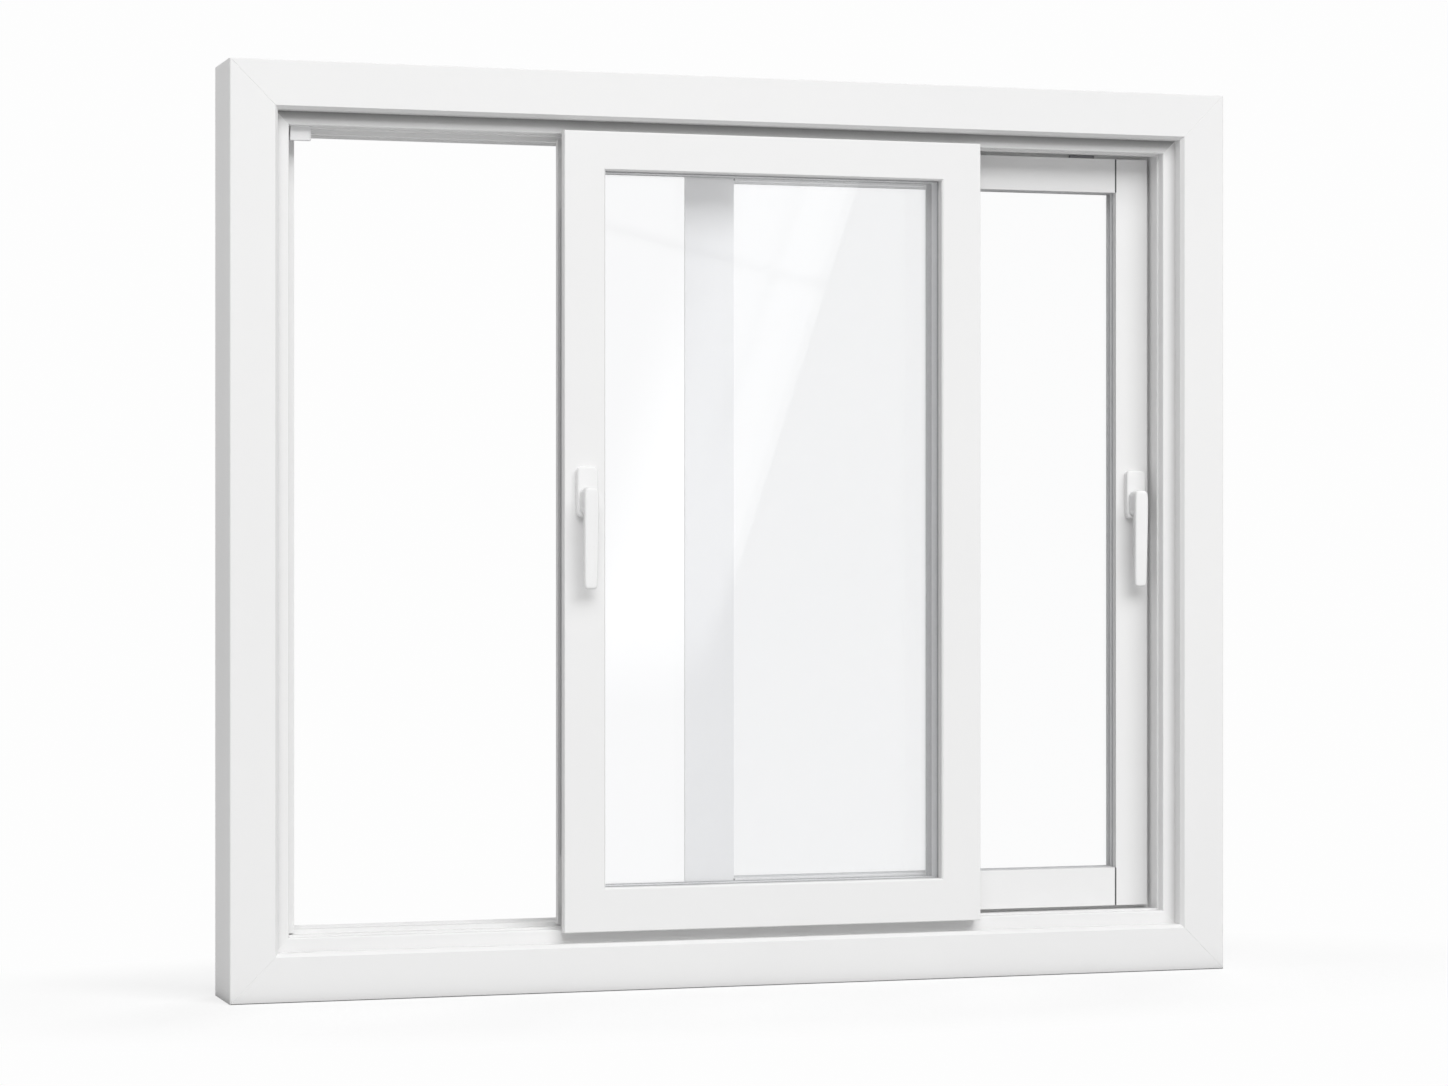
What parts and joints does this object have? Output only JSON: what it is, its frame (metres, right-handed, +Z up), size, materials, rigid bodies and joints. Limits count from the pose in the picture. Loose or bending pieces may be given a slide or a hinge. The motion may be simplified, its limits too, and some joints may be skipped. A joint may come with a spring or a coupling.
{
  "type": "sliding window",
  "caption": "White plastic horizontal sliding window on its own sill: mitred frame with tracks, glazed front and rear sashes that slide past each other, hanging lever handles.",
  "frame": {"origin": "centre of the flat underside of the sill", "axes": "+X right along the sill and +Y to the outside, both as seen from the room side with the handles, +Z up"},
  "size_m": [1.375, 0.1378, 1.2],
  "materials": {
    "window_plastic": "smooth satin white",
    "handle_white": "white satin powder coat",
    "buffer_plastic": "moulded white",
    "glass": "clear float",
    "spacer_bar": "satin",
    "gasket": "matt grey",
    "lock_steel": "zinc plated",
    "running_gear": "moulded light grey nylon"
  },
  "bodies": {
    "frame": {"frame_sill": "window_plastic", "frame_left_jamb": "window_plastic", "frame_head": "window_plastic", "frame_right_jamb": "window_plastic", "left_jamb_cover": "window_plastic", "head_end_block": "buffer_plastic"},
    "front_sash": {"front_sash_left_stile": "window_plastic", "front_sash_right_stile": "window_plastic", "front_sash_top_rail": "window_plastic", "front_sash_bottom_rail": "window_plastic", "front_left_bead": "window_plastic", "front_right_bead": "window_plastic", "front_top_bead": "window_plastic", "front_bottom_bead": "window_plastic", "front_inner_pane": "glass", "front_outer_pane": "glass", "front_pane_spacer": "spacer_bar", "front_glass_gaskets": "gasket", "front_sash_rollers": "running_gear", "front_sash_guides": "running_gear", "front_handle_rosette": "handle_white", "front_lock_strip": "lock_steel"},
    "front_handle": {"front_handle_lever": "handle_white"},
    "rear_sash": {"rear_sash_left_stile": "window_plastic", "rear_sash_right_stile": "window_plastic", "rear_sash_top_rail": "window_plastic", "rear_sash_bottom_rail": "window_plastic", "rear_left_bead": "window_plastic", "rear_right_bead": "window_plastic", "rear_top_bead": "window_plastic", "rear_bottom_bead": "window_plastic", "rear_inner_pane": "glass", "rear_outer_pane": "glass", "rear_pane_spacer": "spacer_bar", "rear_glass_gaskets": "gasket", "rear_sash_rollers": "running_gear", "rear_sash_guides": "running_gear", "rear_handle_rosette": "handle_white", "rear_interlock_strip": "window_plastic"},
    "rear_handle": {"rear_handle_lever": "handle_white"}
  },
  "joints": [
    {"name": "front_sash_slide", "type": "slide", "parent": "frame", "child": "front_sash", "axis": [-1, 0, 0], "range_m": [0, 0.3575]},
    {"name": "rear_sash_slide", "type": "slide", "parent": "frame", "child": "rear_sash", "axis": [-1, 0, 0], "range_m": [0, 0.22]},
    {"name": "front_handle_turn", "type": "hinge", "parent": "front_sash", "child": "front_handle", "pos_m": [-0.2195, -0.052, 0.644], "axis": [0, -1, 0], "range_deg": [0, 180]},
    {"name": "rear_handle_turn", "type": "hinge", "parent": "rear_sash", "child": "rear_handle", "pos_m": [0.5825, 0.012, 0.644], "axis": [0, 1, 0], "range_deg": [0, 180]}
  ]
}
